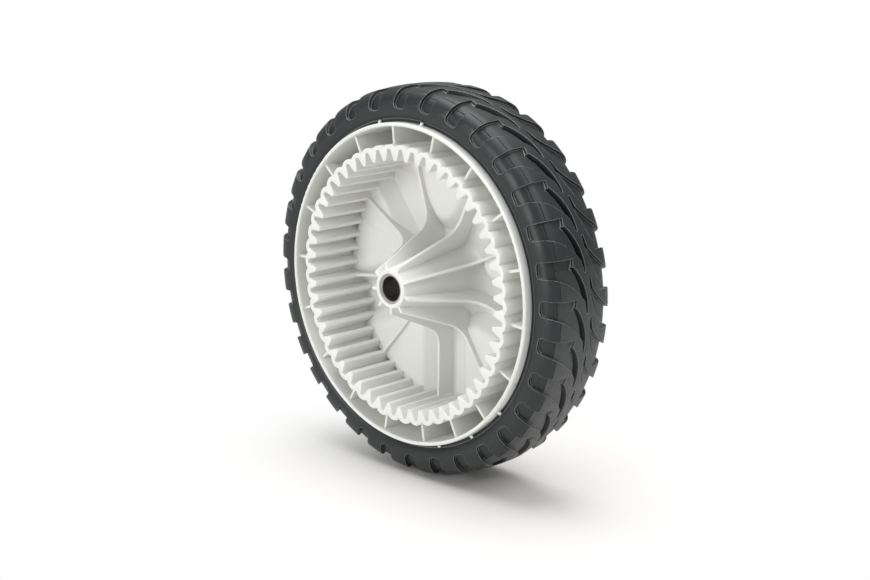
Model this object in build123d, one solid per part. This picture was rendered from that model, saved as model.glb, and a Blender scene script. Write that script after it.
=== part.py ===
from build123d import *
import math
import os

# Drive wheel of a walk-behind mower, in millimetres.
# The wheel is drawn lying on its outboard side: the axle runs along Z, the open gear side
# faces +Z, and Z is measured from the middle plane of the tyre.
# At the end it is stood upright, with the axle along Y, the gear side to -Y and Z up.

# Axle, bushes and hub
axle_diameter = 12.7
axle_clearance = 0.1
bush_wall = 1.6
bush_length = 16.0
bush_recess = 0.6
bush_chamfer = 0.4
hub_wall = 2.05
hub_edge_radius = 0.7
hub_foot_radius = 19.0
hub_foot_bend = 8.0
hub_shell = 2.5
hub_rear_wall = 4.0
hub_rear_length = 7.0

# Gear ring moulded on the wheel
gear_module = 2.54
gear_teeth = 53
gear_addendum = 2.46
gear_dedendum = 3.39
tooth_tip_width = 2.0
tooth_gap_width = 2.0
gear_wall = 2.3
gear_scallop = 1.8
gear_proud = 1.0
gear_angle = 4.64

# Rim drum, its stiffening ribs and the catches that keep the tyre on:
# the offsets are counted in gear teeth, and catch_ribs names the rim ribs that have a catch beside them
rim_gap = 9.0
rim_wall = 2.0
rim_overhang = 4.7
rim_rib_thickness = 1.4
rim_rib_drop = 3.0
rim_rib_offset = 1.5
rim_flange_height = 1.6
rim_flange_thickness = 2.4
catch_ribs = [1, 6, 7, 10, 15]
catch_height = 1.6
catch_offset = 1.0
catch_thickness = 1.6
catch_length = 1.8
catch_edge = 0.6

# Web: depths are measured down from the inboard edge of the rim
web_thickness = 2.5
web_rib_count = 9
web_rib_thickness = 1.5
web_rib_first_tooth = 3
web_rib_tooth_shift = 0.2
web_rib_depth = 28.5
web_rib_overhang = 3.4
web_rib_bend = 12.0
web_rib_slope_radius = 29.2
hub_proud = 8.0
spoke_count = 5
spoke_angle = 55.0
spoke_half_width = 15.5
spoke_floor_half_width = 8.0
spoke_depth = 8.0
panel_step = 2.5
panel_corner = 7.0
panel_edge_radius = 5.0

# Tyre
tyre_clearance = 0.1
tyre_height = 18.3
tyre_width = 44.8
bead_width = 40.4
bead_clearance = 0.3
bead_slope = 1.4
crown_drop = 0.8
crown_width = 28.0
shoulder_drop = 5.8
shoulder_lean = 1.8
sidewall_bulge = 0.9

# Tread: lengths along the tread are angles in degrees, back from the straight edge of a scoop,
# and heights are millimetres from the middle plane
tread_count = 32
tread_angle = 4.26
tread_shift = 1.1
scoop_angle = 4.4
scoop_depth = 1.5
scoop_foot_height = 6.3
scoop_corner = 2.4
scoop_top = 8.8
fin_tip_angle = 12.6
fin_tip_height = 2.6
fin_bend_angle = 8.2
fin_bend_height = 10.0
groove_depth = 3.8
groove_tip_angle = 15.5
groove_tip_height = 1.1
groove_tip_width = 0.9
groove_mid_angle = 8.6
groove_mid_height = 2.6
groove_mid_width = 2.5
groove_end_angle = 2.3
groove_end_height = 9.0
groove_end_width = 1.4

# Radii that follow from the sizes above
bore_radius = (axle_diameter + axle_clearance) / 2
bush_radius = bore_radius + bush_wall
hub_radius = bush_radius + hub_wall
hub_rear_radius = bush_radius + hub_rear_wall
pitch_radius = gear_module * gear_teeth / 2
tip_radius = pitch_radius - gear_addendum
root_radius = pitch_radius + gear_dedendum
lobe_radius = root_radius + gear_wall
valley_radius = lobe_radius - gear_scallop
rim_inner_radius = lobe_radius + rim_gap
rim_radius = rim_inner_radius + rim_wall
tyre_inner_radius = rim_radius + tyre_clearance
tyre_radius = rim_radius + tyre_height

# Heights above the middle plane of the tyre
bead_edge = bead_width / 2
rim_top = bead_edge + rim_overhang
rim_bottom = -bead_edge - bead_clearance - rim_flange_thickness
gear_top = rim_top + gear_proud
hub_top = rim_top + hub_proud
web_rib_top = rim_top - web_rib_depth
panel_top = web_rib_top - panel_step
floor_top = panel_top - spoke_depth
floor_bottom = floor_top - web_thickness
hub_bottom = floor_bottom - hub_rear_length
embed = web_thickness / 2


def polar(radius, angle):
    return (radius * math.cos(math.radians(angle)), radius * math.sin(math.radians(angle)))


def copies(shape, count, first_angle):
    return [Rot(0, 0, first_angle + i * 360 / count) * shape for i in range(count)]


def at_teeth(shape, teeth):
    return [Rot(0, 0, gear_angle + tooth * 360 / gear_teeth) * shape for tooth in teeth]


def web_rib_teeth():
    """The gear teeth that the web ribs stand on, spread as evenly as whole teeth allow."""
    step = gear_teeth / web_rib_count
    return [web_rib_first_tooth + round(i * step + web_rib_tooth_shift) for i in range(web_rib_count)]


def rim_rib_teeth():
    """Two rim ribs for each web rib: one just past it and one half way to the next."""
    teeth = web_rib_teeth()
    following = teeth[1:] + [teeth[0] + gear_teeth]
    beside = [tooth + rim_rib_offset for tooth in teeth]
    between = [(tooth + after) / 2 + rim_rib_offset for tooth, after in zip(teeth, following)]
    return beside + between


def tube(outer, inner, low, high):
    return Pos(0, 0, low) * extrude(Circle(outer) - Circle(inner), high - low)


def turned(face):
    return revolve(Plane.XZ * face, Axis.Z)


def radial_plate(outline, thickness):
    """A plate standing on a radius, from an outline of (radius, height) points."""
    return extrude(Plane.XZ * outline, thickness / 2, both=True)


def gear_ring():
    pitch = 360 / gear_teeth
    half_tip = math.degrees(tooth_tip_width / 2 / tip_radius)
    half_root = pitch / 2 - math.degrees(tooth_gap_width / 2 / root_radius)
    lobes = []
    teeth = []
    for i in range(gear_teeth):
        angle = gear_angle + i * pitch
        start = polar(valley_radius, angle)
        crest = polar(lobe_radius, angle + pitch / 2)
        end = polar(valley_radius, angle + pitch)
        lobes.append(ThreePointArc(start, crest, end))
        teeth.append(polar(root_radius, angle - half_root))
        teeth.append(polar(tip_radius, angle - half_tip))
        teeth.append(polar(tip_radius, angle + half_tip))
        teeth.append(polar(root_radius, angle + half_root))
    section = make_face(lobes) - make_face(Polyline(*teeth, close=True))
    return Pos(0, 0, floor_bottom) * extrude(section, gear_top - floor_bottom)


def rim_drum():
    lip = rim_wall / 2
    outline = Polyline(
        (rim_inner_radius, rim_top - lip),
        (rim_inner_radius, rim_bottom),
        (rim_radius + rim_flange_height, rim_bottom),
        (rim_radius + rim_flange_height, rim_bottom + rim_flange_thickness),
        (rim_radius, rim_bottom + rim_flange_thickness),
        (rim_radius, rim_top - lip),
    )
    shoulder = rim_top - lip
    top = ThreePointArc((rim_radius, shoulder), (rim_radius - lip, rim_top), (rim_inner_radius, shoulder))
    return turned(make_face([outline, top]))


def rim_ribs():
    middle = (valley_radius + rim_radius) / 2
    low = floor_top - embed
    high = rim_top - rim_rib_drop
    width = rim_inner_radius - valley_radius + rim_wall
    rib = Pos(middle, 0, (low + high) / 2) * Box(width, rim_rib_thickness, high - low)
    return at_teeth(rib, rim_rib_teeth())


def catches():
    foot = rim_radius - rim_wall / 2
    seat = bead_edge + bead_clearance
    outline = Polyline(
        (foot, seat),
        (rim_radius + catch_height, seat),
        (rim_radius + catch_height, seat + catch_edge),
        (foot, seat + catch_length),
        close=True,
    )
    plate = radial_plate(make_face(outline), catch_thickness)
    teeth = rim_rib_teeth()
    return at_teeth(plate, [teeth[rib] + catch_offset for rib in catch_ribs])


def panel_outline(half_width, corner, outer_radius):
    """The wedge between two spokes, along +X, with its inner corner rounded."""
    half = math.radians(180 / spoke_count)
    far = outer_radius * math.cos(half / 2)
    wide = (far * math.sin(half) - half_width) / math.cos(half)
    wedge = make_face(Polyline((half_width / math.sin(half), 0), (far, wide), (far, -wide), close=True))
    return fillet(wedge.vertices().sort_by(Axis.X)[0], corner)


def panel_block(top, top_half_width, bottom, corner, outer_radius):
    run = (spoke_half_width - spoke_floor_half_width) / spoke_depth
    spread = (top - bottom) * run
    upper = Pos(0, 0, top) * panel_outline(top_half_width, corner, outer_radius)
    lower = Pos(0, 0, bottom) * panel_outline(top_half_width - spread, corner + spread, outer_radius)
    return loft([lower, upper], ruled=True)


def raised_panels():
    block = panel_block(panel_top, spoke_half_width, floor_top - embed, panel_corner, root_radius)
    rim_edges = block.edges().group_by(Axis.Z)[-1].sort_by(Axis.X)[:-1]
    block = fillet(rim_edges, panel_edge_radius)
    return copies(block, spoke_count, spoke_angle + 180 / spoke_count)


def panel_recesses():
    """What is cut from the outboard side so that each raised panel keeps the wall of the web."""
    slope = math.atan2(spoke_half_width - spoke_floor_half_width, spoke_depth)
    top = panel_top - web_thickness
    half_width = spoke_half_width + web_thickness / math.cos(slope) - web_thickness * math.tan(slope)
    block = panel_block(top, half_width, floor_bottom - embed, panel_corner, valley_radius - web_thickness)
    return copies(block, spoke_count, spoke_angle + 180 / spoke_count)


def hub_slope():
    """How far the hub cone widens for each millimetre of height."""
    return (hub_foot_radius - hub_radius) / (hub_top - floor_top)


def hub_cone():
    reach = hub_foot_radius + hub_foot_bend
    outline = make_face(
        Polyline(
            (0, floor_bottom),
            (reach, floor_bottom),
            (reach, floor_top),
            (hub_foot_radius, floor_top),
            (hub_radius, hub_top),
            (0, hub_top),
            close=True,
        )
    )
    foot = outline.vertices().sort_by_distance((hub_foot_radius, floor_top))[0]
    outline = fillet(foot, hub_foot_bend)
    tip = outline.vertices().sort_by_distance((hub_radius, hub_top))[0]
    return turned(fillet(tip, hub_edge_radius))


def hub_hollow():
    """The space between the hub tube and the cone, open to the outboard side, with a rib at each web rib."""
    tilt = math.atan(hub_slope())
    low = floor_bottom - embed
    wall = hub_shell / math.cos(tilt)
    mouth = hub_foot_radius + hub_slope() * (floor_top - low) - wall
    peak = low + (mouth - hub_rear_radius) / hub_slope()
    outline = Polyline((hub_rear_radius, low), (mouth, low), (hub_rear_radius, peak), close=True)
    wide = mouth + embed
    rib_outline = Polyline(
        (0, low - embed), (wide, low - embed), (wide, peak + embed), (0, peak + embed), close=True
    )
    rib = radial_plate(make_face(rib_outline), web_rib_thickness)
    return turned(make_face(outline)) - at_teeth(rib, web_rib_teeth())


def web_ribs():
    """Thin ribs that follow the hub cone down and bend outwards to the gear ring."""
    start = hub_radius + web_rib_overhang
    foot = (hub_radius / 2, floor_top - embed)
    outline = make_face(
        Polyline(
            (hub_radius / 2, hub_top - hub_edge_radius),
            (start, hub_top - hub_edge_radius),
            (web_rib_slope_radius, web_rib_top),
            (root_radius, web_rib_top),
            (root_radius, floor_top - embed),
            foot,
            close=True,
        )
    )
    bend = outline.vertices().sort_by_distance((web_rib_slope_radius, web_rib_top))[0]
    return at_teeth(radial_plate(fillet(bend, web_rib_bend), web_rib_thickness), web_rib_teeth())


def wheel_moulding():
    plate = tube(rim_inner_radius + embed, bush_radius, floor_bottom, floor_top)
    hub_tube = tube(hub_rear_radius, bush_radius, hub_bottom, floor_top)
    body = rim_drum() + [gear_ring(), plate, hub_cone(), hub_tube]
    body = body + raised_panels() + web_ribs() + rim_ribs() + catches()
    body = body - panel_recesses() - hub_hollow()
    bush_seat = extrude(Circle(bush_radius), hub_top - hub_bottom + 2 * embed)
    return body - Pos(0, 0, hub_bottom - embed) * bush_seat


def bush(low):
    ring = tube(bush_radius, bore_radius, low, low + bush_length)
    mouths = ring.edges().filter_by(GeomType.CIRCLE).sort_by(SortBy.RADIUS)[:2]
    return chamfer(mouths, bush_chamfer)


def tyre_section(inset):
    """The tyre's section: crown, round shoulders, bulging sidewalls and a bead that sits on the rim."""
    crown_top = tyre_radius - inset
    crown_end = crown_top - crown_drop
    shoulder_end = crown_top - shoulder_drop
    half_crown = crown_width / 2 - inset
    side = tyre_width / 2 - inset
    side_end = side - sidewall_bulge
    bead = bead_edge - inset
    bead_top = rim_radius + rim_flange_height + bead_clearance
    edges = [
        ThreePointArc((crown_end, half_crown), (crown_top, 0), (crown_end, -half_crown)),
        Line((tyre_inner_radius, bead), (tyre_inner_radius, -bead)),
    ]
    for sign in (1, -1):
        wall_top = (shoulder_end, sign * side_end)
        wall_foot = (bead_top + bead_slope, sign * side_end)
        wall_middle = ((shoulder_end + bead_top + bead_slope) / 2, sign * side)
        edges.append(TangentArc(wall_top, (crown_end, sign * half_crown), tangent=(shoulder_lean, -sign)))
        edges.append(ThreePointArc(wall_foot, wall_middle, wall_top))
        edges.append(Polyline((tyre_inner_radius, sign * bead), (bead_top, sign * bead), wall_foot))
    return make_face(edges)


def tread_point(angle, height):
    """A point of the tread pattern laid flat, with the middle of one pattern unit at zero."""
    return (tyre_radius * math.sin(math.radians(groove_tip_angle / 2 - angle)), height)


def tread_cut(outline, floor_radius):
    """A cutter that runs out through the tread from a flat floor."""
    floor = Plane(origin=(floor_radius, 0, 0), x_dir=(0, 1, 0), z_dir=(1, 0, 0))
    return extrude(floor * outline, 2 * tyre_height)


def tread_groove():
    """The sickle groove, from its point near the middle of the tread to the top of a scoop."""
    tip = (groove_tip_angle, groove_tip_height)
    middle = (groove_mid_angle, groove_mid_height)
    end = (groove_end_angle, groove_end_height)
    widths = (groove_tip_width, groove_mid_width, groove_end_width)
    upper = [tread_point(angle, height) for angle, height in (tip, middle, end)]
    lower = [tread_point(angle, height + width) for (angle, height), width in zip((tip, middle, end), widths)]
    outline = make_face(
        [ThreePointArc(*upper), Line(upper[2], lower[2]), ThreePointArc(*lower), Line(lower[0], upper[0])]
    )
    return tread_cut(outline, tyre_radius - groove_depth)


def scoop_foot(start, end):
    """A block that rounds both lower corners of a scoop where it ends on the sidewall."""
    foot = rim_radius + scoop_foot_height
    past_fin = end - tyre_height
    outline = make_face(
        Polyline(
            (start, foot + 2 * tyre_height),
            (start, foot),
            (end, foot),
            (end, foot + scoop_corner),
            (past_fin, foot + scoop_corner),
            (past_fin, foot + 2 * tyre_height),
            close=True,
        )
    )
    corners = outline.vertices().group_by(Axis.Y)[0]
    across = Plane(origin=(0, 0, 0), x_dir=(0, 1, 0), z_dir=(0, 0, -1))
    return extrude(across * fillet(corners, scoop_corner), 2 * tyre_width, both=True)


def tread_scoop():
    """The scoop over the shoulder, with the fin that runs up beside the groove."""
    past_side = tyre_width / 2 + scoop_depth
    edge_top = tread_point(0, scoop_top)
    edge_foot = tread_point(0, past_side)
    groove_end = tread_point(groove_end_angle, groove_end_height + groove_end_width / 2)
    groove_middle = tread_point(groove_mid_angle, groove_mid_height + groove_mid_width / 2)
    fin_tip = tread_point(fin_tip_angle, fin_tip_height)
    fin_bend = tread_point(fin_bend_angle, fin_bend_height)
    fin_foot = tread_point(scoop_angle, past_side)
    outline = make_face(
        [
            Polyline(fin_foot, edge_foot, edge_top, groove_end),
            ThreePointArc(groove_end, groove_middle, fin_tip),
            ThreePointArc(fin_tip, fin_bend, fin_foot),
        ]
    )
    return tread_cut(outline, rim_radius + scoop_foot_height) & scoop_foot(edge_foot[0], fin_foot[0])


def tyre():
    """The two rows of tread are half a pitch apart, and the whole pattern sits a little outboard."""
    unit_angle = tread_angle - groove_tip_angle / 2
    half_pitch = 180 / tread_count
    inboard = Pos(0, 0, -tread_shift)
    outboard = inboard * Rot(180, 0, 0)
    scoop_floor = turned(tyre_section(scoop_depth))
    cutters = []
    for row, angle in ((inboard, unit_angle), (outboard, unit_angle + half_pitch)):
        cutters += copies(row * tread_groove(), tread_count, angle)
        cutters += copies(row * tread_scoop() - scoop_floor, tread_count, angle)
    return turned(tyre_section(0)) - cutters


def main():
    os.makedirs("parts", exist_ok=True)
    nodes = {
        "wheel_moulding": wheel_moulding(),
        "inboard_bush": bush(hub_top - bush_recess - bush_length),
        "outboard_bush": bush(hub_bottom + bush_recess),
        "tyre": tyre(),
    }
    for name, shape in nodes.items():
        upright = Rot(90, 0, 0) * shape
        export_step(upright, os.path.join("parts", name + ".step"))


main()
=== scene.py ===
import math

import bpy
from mathutils import Matrix, Vector


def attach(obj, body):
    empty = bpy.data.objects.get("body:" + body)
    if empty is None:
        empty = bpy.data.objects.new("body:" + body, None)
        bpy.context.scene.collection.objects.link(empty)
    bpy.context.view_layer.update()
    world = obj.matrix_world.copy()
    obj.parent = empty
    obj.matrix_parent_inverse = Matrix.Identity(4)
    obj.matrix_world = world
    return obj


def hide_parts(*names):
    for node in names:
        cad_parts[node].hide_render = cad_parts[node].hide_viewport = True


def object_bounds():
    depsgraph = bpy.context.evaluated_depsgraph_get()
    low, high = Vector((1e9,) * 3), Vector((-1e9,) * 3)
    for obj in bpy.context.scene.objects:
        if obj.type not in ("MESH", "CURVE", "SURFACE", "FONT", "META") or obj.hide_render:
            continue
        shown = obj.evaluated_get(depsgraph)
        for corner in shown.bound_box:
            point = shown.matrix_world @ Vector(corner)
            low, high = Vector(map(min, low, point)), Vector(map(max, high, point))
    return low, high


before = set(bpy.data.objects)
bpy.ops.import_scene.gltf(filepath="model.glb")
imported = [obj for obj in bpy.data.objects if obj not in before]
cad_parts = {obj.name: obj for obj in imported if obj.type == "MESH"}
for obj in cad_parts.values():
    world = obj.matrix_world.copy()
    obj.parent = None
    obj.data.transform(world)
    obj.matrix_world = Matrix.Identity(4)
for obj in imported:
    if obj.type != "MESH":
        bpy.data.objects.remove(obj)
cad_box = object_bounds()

bl_info = {
    "name": "Mower drive wheel",
    "version": (1, 0, 0),
    "blender": (4, 5, 0),
    "location": "View3D > Sidebar > Drive wheel",
    "description": "Dresses the drive wheel: white moulding, rubber tyre, metal bushes and a studio stage",
    "category": "Object",
}

# The photograph's frame and view
PHOTO_WIDTH = 870
PHOTO_HEIGHT = 580
FOCAL_PIXELS = 1522.65
VIEW_AZIMUTH = math.radians(45.33)
VIEW_ELEVATION = math.radians(13.48)
VIEW_DISTANCE = 0.78166
RIM_CENTRE = Vector((0.0, -0.0249, 0.0))
RIM_CENTRE_PIXEL = (400.96, 286.49)
SENSOR_WIDTH = 36.0
NEAREST_SEEN = 0.01
FARTHEST_SEEN = 50.0

# How the CAD triangles are joined and which edges are rounded
SAME_POINT = 0.000002
FLAT_ANGLE = math.radians(0.4)
SMOOTH_ANGLE = math.radians(40.0)
MOULDING_EDGE_ANGLE = math.radians(35.0)
TREAD_EDGE_ANGLE = math.radians(30.0)
EDGE_SEGMENTS = 2

# Noise patterns of the surfaces, each a scale and a detail, and the stretch of their values that is used
PLASTIC_CLOUD = (18.0, 3.0)
PLASTIC_SKIN = (2600.0, 2.0)
RUBBER_CLOUD = (45.0, 4.0)
RUBBER_GRAIN = (1500.0, 3.0)
NOISE_LOW = 0.3
NOISE_HIGH = 0.7

# How dark a colour gets where its pattern is darkest, and how far a roughness wanders
PLASTIC_DARK = 0.965
RUBBER_DARK = 0.8
METAL_DARK = 0.85
ROUGHNESS_WANDER = 0.05

# The skins of the plastic and the rubber
PLASTIC_IOR = 1.49
PLASTIC_SKIN_STRENGTH = 0.05
PLASTIC_SKIN_DEPTH = 0.00005
RUBBER_IOR = 1.5
RUBBER_SKIN_STRENGTH = 0.6
RUBBER_SKIN_DEPTH = 0.0002
GRAIN_SHARE = 0.25

# The lines that the tyre's mould leaves: a seam round each shoulder and the joints between its segments
SEAM_HEIGHT = 0.0177
SEAM_WIDTH = 0.0004
JOINT_ANGLE = math.radians(13.0)
SEGMENT_ANGLE = math.radians(72.0)
TREAD_RADIUS = 0.1

# How rough the rough segment is beside its joint, and how far its speckles fade
ROUGH_AT_JOINT = 0.15
SPECKLE_FADE = 0.55

# The rings that turning left on the bushes
RING_SCALE = 900.0
RING_WANDER = 1.5
BUSH_SMOOTH = 0.28
BUSH_ROUGH = 0.42

# The lamps' places and widths, the colour of the room's light and the floor
TOP_LAMP_PLACE = Vector((-0.1, 0.03, 1.2))
TOP_LAMP_WIDTH = 1.1
FRONT_LAMP_PLACE = Vector((-0.15, -1.25, 0.3))
RIGHT_LAMP_PLACE = Vector((0.9, -0.05, 0.9))
SIDE_LAMP_WIDTH = 0.6
ROOM_COLOUR = (0.77, 0.77, 0.765, 1.0)
WHITE = (1.0, 1.0, 1.0, 1.0)
FLOOR_RADIUS = 4.0
FLOOR_CORNERS = 96

# Where the floor keeps the wheel's whole shadow and where it has faded into the white background
SHADOW_CENTRE = (0.03, -0.02, 0.0)
SHADOW_FULL = 0.03
SHADOW_GONE = 0.18


class WheelFinishes(bpy.types.PropertyGroup):
    """Colours and surfaces of the plastic, the rubber and the metal."""

    plastic_colour: bpy.props.FloatVectorProperty(
        name="Plastic", description="Colour of the white moulding", subtype="COLOR", size=4,
        min=0.0, max=1.0, default=(0.765, 0.77, 0.735, 1.0))
    plastic_roughness: bpy.props.FloatProperty(
        name="Plastic roughness", description="How matt the moulding is", subtype="FACTOR",
        min=0.0, max=1.0, default=0.42)
    rubber_colour: bpy.props.FloatVectorProperty(
        name="Rubber", description="Colour of the tyre", subtype="COLOR", size=4,
        min=0.0, max=1.0, default=(0.011, 0.0142, 0.0152, 1.0))
    rough_colour: bpy.props.FloatVectorProperty(
        name="Rough tread", description="Colour of the tread that the rough segment of the mould left",
        subtype="COLOR", size=4, min=0.0, max=1.0, default=(0.078, 0.081, 0.08, 1.0))
    # Painted highlight: a pale colour on the tread's rounded edges, where light catches them
    edge_highlight_colour: bpy.props.FloatVectorProperty(
        name="Painted edge highlights", description="Colour of the tread's painted edge highlights", subtype="COLOR", size=4,
        min=0.0, max=1.0, default=(0.15, 0.155, 0.155, 1.0))
    line_colour: bpy.props.FloatVectorProperty(
        name="Mould lines", description="Colour of the fine lines that the mould left",
        subtype="COLOR", size=4, min=0.0, max=1.0, default=(0.001, 0.001, 0.001, 1.0))
    rubber_roughness: bpy.props.FloatProperty(
        name="Rubber roughness", description="How matt the tyre's walls are", subtype="FACTOR",
        min=0.0, max=1.0, default=0.42)
    tread_matt: bpy.props.FloatProperty(
        name="Matt tread", description="How much more matt the tread is than the walls", subtype="FACTOR",
        min=0.0, max=1.0, default=0.08)
    metal_colour: bpy.props.FloatVectorProperty(
        name="Bush metal", description="Colour of the bushes", subtype="COLOR", size=4,
        min=0.0, max=1.0, default=(0.42, 0.41, 0.39, 1.0))


class WheelEdges(bpy.types.PropertyGroup):
    """How far the edges are rounded."""

    moulding_edge: bpy.props.FloatProperty(
        name="Moulding edge", description="Width of the rounded edges of the moulding", unit="LENGTH",
        min=0.0, max=0.001, precision=5, default=0.00025)
    tyre_edge: bpy.props.FloatProperty(
        name="Tread edge", description="Width of the rounded edges of the tread", unit="LENGTH",
        min=0.0, max=0.001, precision=5, default=0.0002)


class StudioLight(bpy.types.PropertyGroup):
    """Lamps and floor."""

    top_power: bpy.props.FloatProperty(
        name="Top lamp", description="Power of the large lamp overhead", unit="POWER",
        min=0.0, default=16.0)
    front_power: bpy.props.FloatProperty(
        name="Front lamp", description="Power of the lamp before the gear side", unit="POWER",
        min=0.0, default=6.5)
    right_power: bpy.props.FloatProperty(
        name="Right lamp", description="Power of the lamp on the right", unit="POWER",
        min=0.0, default=5.0)
    room_strength: bpy.props.FloatProperty(
        name="Room", description="Strength of the even light of the room", subtype="FACTOR",
        min=0.0, max=2.0, default=0.6)
    floor_colour: bpy.props.FloatVectorProperty(
        name="Floor", description="Colour of the floor", subtype="COLOR", size=4,
        min=0.0, max=1.0, default=(0.73, 0.722, 0.71, 1.0))


def deselect():
    for other in bpy.context.selected_objects:
        other.select_set(False)


def only(obj):
    """Makes this the one selected and active object."""
    deselect()
    obj.select_set(True)
    bpy.context.view_layer.objects.active = obj


def new_material(name):
    material = bpy.data.materials.new(name)
    material.use_nodes = True
    return material, material.node_tree.nodes, material.node_tree.links


def noise(nodes, links, pattern):
    """A noise pattern on the piece's own Object coordinates."""
    scale, detail = pattern
    place = nodes.new("ShaderNodeTexCoord")
    texture = nodes.new("ShaderNodeTexNoise")
    texture.inputs["Scale"].default_value = scale
    texture.inputs["Detail"].default_value = detail
    links.new(place.outputs["Object"], texture.inputs["Vector"])
    return texture.outputs["Fac"]


def maths(nodes, links, operation, first, second=0.0):
    """A maths node whose second side is a plain number or another node's value."""
    node = nodes.new("ShaderNodeMath")
    node.operation = operation
    links.new(first, node.inputs[0])
    if isinstance(second, float):
        node.inputs[1].default_value = second
    else:
        links.new(second, node.inputs[1])
    return node.outputs["Value"]


def ramp(nodes, links, source, start, end, low, high):
    """Maps a value from the range start to end into the range low to high."""
    node = nodes.new("ShaderNodeMapRange")
    node.inputs["From Min"].default_value = start
    node.inputs["From Max"].default_value = end
    node.inputs["To Min"].default_value = low
    node.inputs["To Max"].default_value = high
    links.new(source, node.inputs["Value"])
    return node.outputs["Result"]


def spread(nodes, links, pattern, low, high):
    """Maps a pattern to the range low to high."""
    return ramp(nodes, links, pattern, NOISE_LOW, NOISE_HIGH, low, high)


def wandering(nodes, links, pattern, roughness):
    """A roughness that wanders a little with a pattern."""
    return spread(nodes, links, pattern, roughness - ROUGHNESS_WANDER, roughness + ROUGHNESS_WANDER)


def tinted(nodes, links, factor, colour, dark):
    """A colour that wanders between itself and a darker tone."""
    mix = nodes.new("ShaderNodeMix")
    mix.data_type = "RGBA"
    mix.inputs["A"].default_value = [c * dark for c in colour[:3]] + [1.0]
    mix.inputs["B"].default_value = list(colour)
    links.new(factor, mix.inputs["Factor"])
    return mix.outputs["Result"]


def blended(nodes, links, factor, first, colour):
    """A colour that passes into another where the factor is 1."""
    mix = nodes.new("ShaderNodeMix")
    mix.data_type = "RGBA"
    mix.inputs["B"].default_value = list(colour)
    links.new(first, mix.inputs["A"])
    links.new(factor, mix.inputs["Factor"])
    return mix.outputs["Result"]


def bump(nodes, links, height, strength, distance):
    node = nodes.new("ShaderNodeBump")
    node.inputs["Strength"].default_value = strength
    node.inputs["Distance"].default_value = distance
    links.new(height, node.inputs["Height"])
    return node.outputs["Normal"]


def moulded_plastic(finish):
    """White injection moulded plastic: satin, faintly clouded, with a very fine skin."""
    material, nodes, links = new_material("moulded_plastic")
    shader = nodes["Principled BSDF"]
    cloud = noise(nodes, links, PLASTIC_CLOUD)
    skin = noise(nodes, links, PLASTIC_SKIN)
    clouded = spread(nodes, links, cloud, 0.0, 1.0)
    colour = tinted(nodes, links, clouded, finish.plastic_colour, PLASTIC_DARK)
    links.new(colour, shader.inputs["Base Color"])
    links.new(wandering(nodes, links, cloud, finish.plastic_roughness), shader.inputs["Roughness"])
    normal = bump(nodes, links, skin, PLASTIC_SKIN_STRENGTH, PLASTIC_SKIN_DEPTH)
    links.new(normal, shader.inputs["Normal"])
    shader.inputs["IOR"].default_value = PLASTIC_IOR
    return material


def mould_marks(nodes, links):
    """What the tyre's mould leaves: its lines, the tread between its seams and one rough segment of tread."""
    place = nodes.new("ShaderNodeTexCoord")
    axes = nodes.new("ShaderNodeSeparateXYZ")
    links.new(place.outputs["Object"], axes.inputs["Vector"])
    across = maths(nodes, links, "ABSOLUTE", axes.outputs["Y"])
    past_seam = maths(nodes, links, "SUBTRACT", across, SEAM_HEIGHT)
    from_seam = maths(nodes, links, "ABSOLUTE", past_seam)
    seam = ramp(nodes, links, from_seam, 0.0, SEAM_WIDTH, 1.0, 0.0)
    tread = ramp(nodes, links, across, SEAM_HEIGHT, SEAM_HEIGHT + SEAM_WIDTH, 1.0, 0.0)
    angle = maths(nodes, links, "ARCTAN2", axes.outputs["Z"], axes.outputs["X"])
    past_joint = maths(nodes, links, "SUBTRACT", angle, JOINT_ANGLE)
    from_joint = maths(nodes, links, "PINGPONG", past_joint, SEGMENT_ANGLE / 2)
    joint = ramp(nodes, links, from_joint, 0.0, SEAM_WIDTH / TREAD_RADIUS, 1.0, 0.0)
    joint_on_tread = maths(nodes, links, "MULTIPLY", joint, tread)
    lines = maths(nodes, links, "MAXIMUM", seam, joint_on_tread)
    past_middle = maths(nodes, links, "ADD", past_joint, SEGMENT_ANGLE / 2)
    from_middle = maths(nodes, links, "ABSOLUTE", past_middle)
    segment = maths(nodes, links, "LESS_THAN", from_middle, SEGMENT_ANGLE / 2)
    growth = ramp(nodes, links, past_joint, -SEGMENT_ANGLE / 2, 0.0, 1.0, ROUGH_AT_JOINT)
    rough = maths(nodes, links, "MULTIPLY", segment, growth)
    return lines, tread, maths(nodes, links, "MULTIPLY", tread, rough)


def tyre_rubber(finish):
    """Black rubber: satin walls, a more matt tread, a fine moulded grain and the marks of the mould."""
    material, nodes, links = new_material("tyre_rubber")
    shader = nodes["Principled BSDF"]
    lines, tread, rough = mould_marks(nodes, links)
    cloud = noise(nodes, links, RUBBER_CLOUD)
    grain = noise(nodes, links, RUBBER_GRAIN)
    speckles = spread(nodes, links, grain, SPECKLE_FADE, 1.0)
    speckled = maths(nodes, links, "MULTIPLY", rough, speckles)
    clouded = spread(nodes, links, cloud, 0.0, 1.0)
    colour = tinted(nodes, links, clouded, finish.rubber_colour, RUBBER_DARK)
    colour = blended(nodes, links, speckled, colour, finish.rough_colour)
    colour = blended(nodes, links, lines, colour, finish.line_colour)
    links.new(colour, shader.inputs["Base Color"])
    satin = wandering(nodes, links, cloud, finish.rubber_roughness)
    matt = maths(nodes, links, "ADD", satin, maths(nodes, links, "MULTIPLY", tread, finish.tread_matt))
    links.new(maths(nodes, links, "MAXIMUM", matt, lines), shader.inputs["Roughness"])
    fine_grain = maths(nodes, links, "MULTIPLY", grain, GRAIN_SHARE)
    skin = maths(nodes, links, "SUBTRACT", fine_grain, lines)
    normal = bump(nodes, links, skin, RUBBER_SKIN_STRENGTH, RUBBER_SKIN_DEPTH)
    links.new(normal, shader.inputs["Normal"])
    shader.inputs["IOR"].default_value = RUBBER_IOR
    return material


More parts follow.
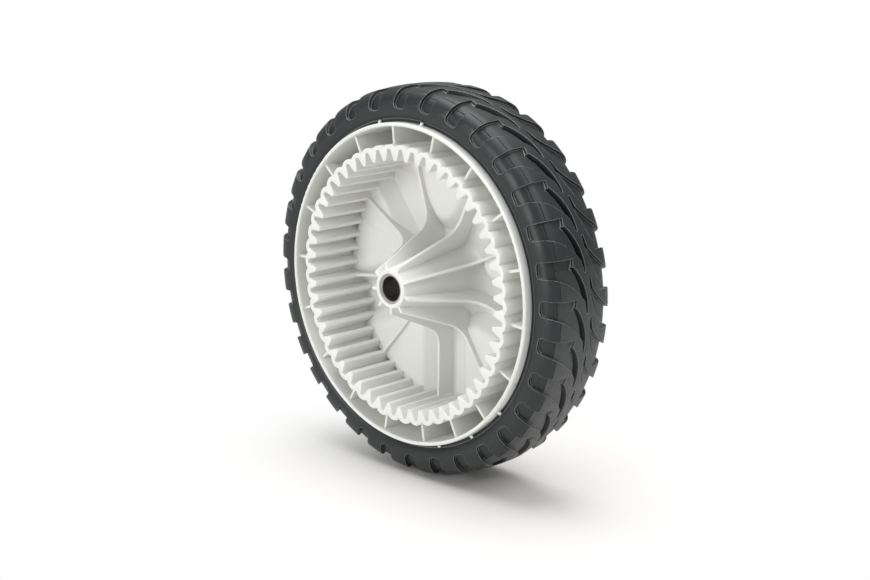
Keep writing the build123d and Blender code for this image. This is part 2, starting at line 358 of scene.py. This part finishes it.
def edge_highlight_rubber(finish):
    """Paler rubber painted on the tread's rounded edges as a highlight."""
    material, nodes, _ = new_material("edge_highlight_rubber")
    shader = nodes["Principled BSDF"]
    # The pale edge colour is a painted highlight on the rounded edges
    shader.inputs["Base Color"].default_value = list(finish.edge_highlight_colour)
    shader.inputs["Roughness"].default_value = finish.rubber_roughness
    shader.inputs["IOR"].default_value = RUBBER_IOR
    return material


def bush_metal(finish):
    """Turned metal: fine rings round the axle."""
    material, nodes, links = new_material("bush_metal")
    shader = nodes["Principled BSDF"]
    place = nodes.new("ShaderNodeTexCoord")
    rings = nodes.new("ShaderNodeTexWave")
    rings.wave_type = "BANDS"
    rings.bands_direction = "Y"
    rings.inputs["Scale"].default_value = RING_SCALE
    rings.inputs["Distortion"].default_value = RING_WANDER
    links.new(place.outputs["Object"], rings.inputs["Vector"])
    roughness = spread(nodes, links, rings.outputs["Fac"], BUSH_SMOOTH, BUSH_ROUGH)
    links.new(roughness, shader.inputs["Roughness"])
    colour = tinted(nodes, links, rings.outputs["Fac"], finish.metal_colour, METAL_DARK)
    links.new(colour, shader.inputs["Base Color"])
    shader.inputs["Metallic"].default_value = 1.0
    return material


def softened_copy(node, name, edge, limit, materials, clamped):
    """A copy of a CAD node with its triangles joined and its sharp edges rounded.

    The rounded edges have the last material. Clamped edges get narrower where a small face leaves no room.
    """
    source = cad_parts[node]
    piece = source.copy()
    piece.data = source.data.copy()
    piece.name = name
    piece.data.name = name
    bpy.context.scene.collection.objects.link(piece)
    only(piece)
    bpy.ops.object.mode_set(mode="EDIT")
    bpy.ops.mesh.select_all(action="SELECT")
    bpy.ops.mesh.customdata_custom_splitnormals_clear()
    bpy.ops.mesh.remove_doubles(threshold=SAME_POINT)
    bpy.ops.mesh.dissolve_limited(angle_limit=FLAT_ANGLE)
    bpy.ops.object.mode_set(mode="OBJECT")
    piece.data.materials.clear()
    for material in materials:
        piece.data.materials.append(material)
    bevel = piece.modifiers.new("rounded edges", "BEVEL")
    bevel.material = len(materials) - 1
    bevel.width = edge
    bevel.segments = EDGE_SEGMENTS
    bevel.limit_method = "ANGLE"
    bevel.angle_limit = limit
    bevel.use_clamp_overlap = clamped
    bevel.miter_outer = "MITER_ARC"
    bpy.ops.object.modifier_apply(modifier=bevel.name)
    bpy.ops.object.shade_smooth_by_angle(angle=SMOOTH_ANGLE)
    return piece


def fit(piece, node):
    """Puts a dressed copy in the place of its CAD node."""
    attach(piece, "root")
    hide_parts(node)


class WHEEL_OT_moulding(bpy.types.Operator):
    """The white wheel moulding with its rounded edges"""

    bl_idname = "wheel.moulding"
    bl_label = "Wheel moulding"

    def execute(self, context):
        edge = context.scene.wheel_edges.moulding_edge
        materials = [moulded_plastic(context.scene.wheel_finishes)]
        limit = MOULDING_EDGE_ANGLE
        piece = softened_copy("wheel_moulding", "moulding", edge, limit, materials, clamped=True)
        fit(piece, "wheel_moulding")
        return {"FINISHED"}


class WHEEL_OT_tyre(bpy.types.Operator):
    """The rubber tyre, with a painted highlight on the rounded edges of its tread"""

    bl_idname = "wheel.tyre"
    bl_label = "Tyre"

    def execute(self, context):
        edge = context.scene.wheel_edges.tyre_edge
        finish = context.scene.wheel_finishes
        # The second material paints a highlight on the tread's rounded edges
        materials = [tyre_rubber(finish), edge_highlight_rubber(finish)]
        limit = TREAD_EDGE_ANGLE
        piece = softened_copy("tyre", "rubber_tyre", edge, limit, materials, clamped=False)
        fit(piece, "tyre")
        return {"FINISHED"}


class WHEEL_OT_bushes(bpy.types.Operator):
    """The two metal bushes in the hub"""

    bl_idname = "wheel.bushes"
    bl_label = "Bushes"

    def execute(self, context):
        material = bush_metal(context.scene.wheel_finishes)
        for node in ("inboard_bush", "outboard_bush"):
            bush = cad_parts[node]
            bush.data.materials.clear()
            bush.data.materials.append(material)
        return {"FINISHED"}


def area_lamp(name, place, width, power):
    """A square lamp that faces the middle of the wheel."""
    lamp = bpy.data.lights.new(name, "AREA")
    lamp.shape = "SQUARE"
    lamp.size = width
    lamp.energy = power
    obj = bpy.data.objects.new(name, lamp)
    bpy.context.scene.collection.objects.link(obj)
    obj.location = place
    obj.rotation_euler = (-place).to_track_quat("-Z", "Y").to_euler()


def photo_camera():
    """The camera, placed so that the middle of the rim's edge falls on its pixel of the photograph."""
    back = Vector((
        math.sin(VIEW_AZIMUTH) * math.cos(VIEW_ELEVATION),
        -math.cos(VIEW_AZIMUTH) * math.cos(VIEW_ELEVATION),
        math.sin(VIEW_ELEVATION),
    ))
    right = Vector((math.cos(VIEW_AZIMUTH), math.sin(VIEW_AZIMUTH), 0.0))
    up = back.cross(right)
    level = Matrix((right, up, back)).transposed()
    across = (RIM_CENTRE_PIXEL[0] - PHOTO_WIDTH / 2) / FOCAL_PIXELS
    down = (RIM_CENTRE_PIXEL[1] - PHOTO_HEIGHT / 2) / FOCAL_PIXELS
    sight = Vector((across, -down, -1.0)).normalized()
    turn = Vector((0.0, 0.0, -1.0)).rotation_difference(sight).to_matrix()
    data = bpy.data.cameras.new("photo_camera")
    data.sensor_width = SENSOR_WIDTH
    data.lens = FOCAL_PIXELS / PHOTO_WIDTH * SENSOR_WIDTH
    data.clip_start = NEAREST_SEEN
    data.clip_end = FARTHEST_SEEN
    camera = bpy.data.objects.new("photo_camera", data)
    place = Matrix.Translation(RIM_CENTRE + back * VIEW_DISTANCE)
    camera.matrix_world = place @ (level @ turn.transposed()).to_4x4()
    bpy.context.scene.collection.objects.link(camera)
    bpy.context.scene.camera = camera


def paper_floor(light):
    """White paper: it keeps the shadow near the wheel and fades into the white background."""
    material, nodes, links = new_material("paper_floor")
    nodes.remove(nodes["Principled BSDF"])
    output = nodes["Material Output"]
    place = nodes.new("ShaderNodeTexCoord")
    distance = nodes.new("ShaderNodeVectorMath")
    distance.operation = "DISTANCE"
    distance.inputs[1].default_value = SHADOW_CENTRE
    links.new(place.outputs["Object"], distance.inputs[0])
    fade = nodes.new("ShaderNodeMapRange")
    fade.interpolation_type = "SMOOTHSTEP"
    fade.inputs["From Min"].default_value = SHADOW_FULL
    fade.inputs["From Max"].default_value = SHADOW_GONE
    links.new(distance.outputs["Value"], fade.inputs["Value"])
    paper = nodes.new("ShaderNodeBsdfDiffuse")
    paper.inputs["Color"].default_value = list(light.floor_colour)
    glow = nodes.new("ShaderNodeEmission")
    glow.inputs["Color"].default_value = WHITE
    seen = nodes.new("ShaderNodeMixShader")
    links.new(fade.outputs["Result"], seen.inputs["Fac"])
    links.new(paper.outputs["BSDF"], seen.inputs[1])
    links.new(glow.outputs["Emission"], seen.inputs[2])
    path = nodes.new("ShaderNodeLightPath")
    looked_at = path.outputs["Is Camera Ray"]
    mirrored = path.outputs["Is Glossy Ray"]
    final = nodes.new("ShaderNodeMixShader")
    links.new(maths(nodes, links, "MAXIMUM", looked_at, mirrored), final.inputs["Fac"])
    links.new(paper.outputs["BSDF"], final.inputs[1])
    links.new(seen.outputs["Shader"], final.inputs[2])
    links.new(final.outputs["Shader"], output.inputs["Surface"])
    return material


def white_world(light):
    """White where the camera sees it, and a plain grey light on the wheel."""
    world = bpy.data.worlds.new("studio")
    bpy.context.scene.world = world
    world.use_nodes = True
    nodes = world.node_tree.nodes
    links = world.node_tree.links
    room = nodes["Background"]
    room.inputs["Color"].default_value = ROOM_COLOUR
    room.inputs["Strength"].default_value = light.room_strength
    white = nodes.new("ShaderNodeBackground")
    white.inputs["Color"].default_value = WHITE
    white.inputs["Strength"].default_value = 1.0
    path = nodes.new("ShaderNodeLightPath")
    mix = nodes.new("ShaderNodeMixShader")
    links.new(path.outputs["Is Camera Ray"], mix.inputs["Fac"])
    links.new(room.outputs["Background"], mix.inputs[1])
    links.new(white.outputs["Background"], mix.inputs[2])
    links.new(mix.outputs["Shader"], nodes["World Output"].inputs["Surface"])


class WHEEL_OT_stage(bpy.types.Operator):
    """The floor, the lamps, the white background and the camera"""

    bl_idname = "wheel.stage"
    bl_label = "Studio stage"

    def execute(self, context):
        light = context.scene.studio_light
        low = cad_box[0][2]
        deselect()
        bpy.ops.mesh.primitive_circle_add(
            vertices=FLOOR_CORNERS, radius=FLOOR_RADIUS, fill_type="NGON", location=(0.0, 0.0, low))
        floor = context.active_object
        floor.name = "floor"
        floor.data.materials.append(paper_floor(light))
        area_lamp("top_lamp", TOP_LAMP_PLACE, TOP_LAMP_WIDTH, light.top_power)
        area_lamp("front_lamp", FRONT_LAMP_PLACE, SIDE_LAMP_WIDTH, light.front_power)
        area_lamp("right_lamp", RIGHT_LAMP_PLACE, SIDE_LAMP_WIDTH, light.right_power)
        white_world(light)
        photo_camera()
        context.scene.view_settings.view_transform = "Standard"
        return {"FINISHED"}


class WHEEL_PT_panel(bpy.types.Panel):
    """The pieces of the wheel, in the sidebar"""

    bl_label = "Drive wheel"
    bl_idname = "WHEEL_PT_panel"
    bl_space_type = "VIEW_3D"
    bl_region_type = "UI"
    bl_category = "Drive wheel"

    def draw(self, context):
        layout = self.layout
        for operator in (WHEEL_OT_moulding, WHEEL_OT_tyre, WHEEL_OT_bushes, WHEEL_OT_stage):
            layout.operator(operator.bl_idname)
        for group in (context.scene.wheel_finishes, context.scene.wheel_edges, context.scene.studio_light):
            for name in group.bl_rna.properties.keys():
                if name not in ("rna_type", "name"):
                    layout.prop(group, name)


CLASSES = (
    WheelFinishes,
    WheelEdges,
    StudioLight,
    WHEEL_OT_moulding,
    WHEEL_OT_tyre,
    WHEEL_OT_bushes,
    WHEEL_OT_stage,
    WHEEL_PT_panel,
)


def register():
    for cls in CLASSES:
        bpy.utils.register_class(cls)
    bpy.types.Scene.wheel_finishes = bpy.props.PointerProperty(type=WheelFinishes)
    bpy.types.Scene.wheel_edges = bpy.props.PointerProperty(type=WheelEdges)
    bpy.types.Scene.studio_light = bpy.props.PointerProperty(type=StudioLight)


def unregister():
    del bpy.types.Scene.studio_light
    del bpy.types.Scene.wheel_edges
    del bpy.types.Scene.wheel_finishes
    for cls in reversed(CLASSES):
        bpy.utils.unregister_class(cls)


def main():
    register()
    bpy.ops.wheel.moulding()
    bpy.ops.wheel.tyre()
    bpy.ops.wheel.bushes()
    bpy.ops.wheel.stage()


if __name__ == "__main__":
    main()
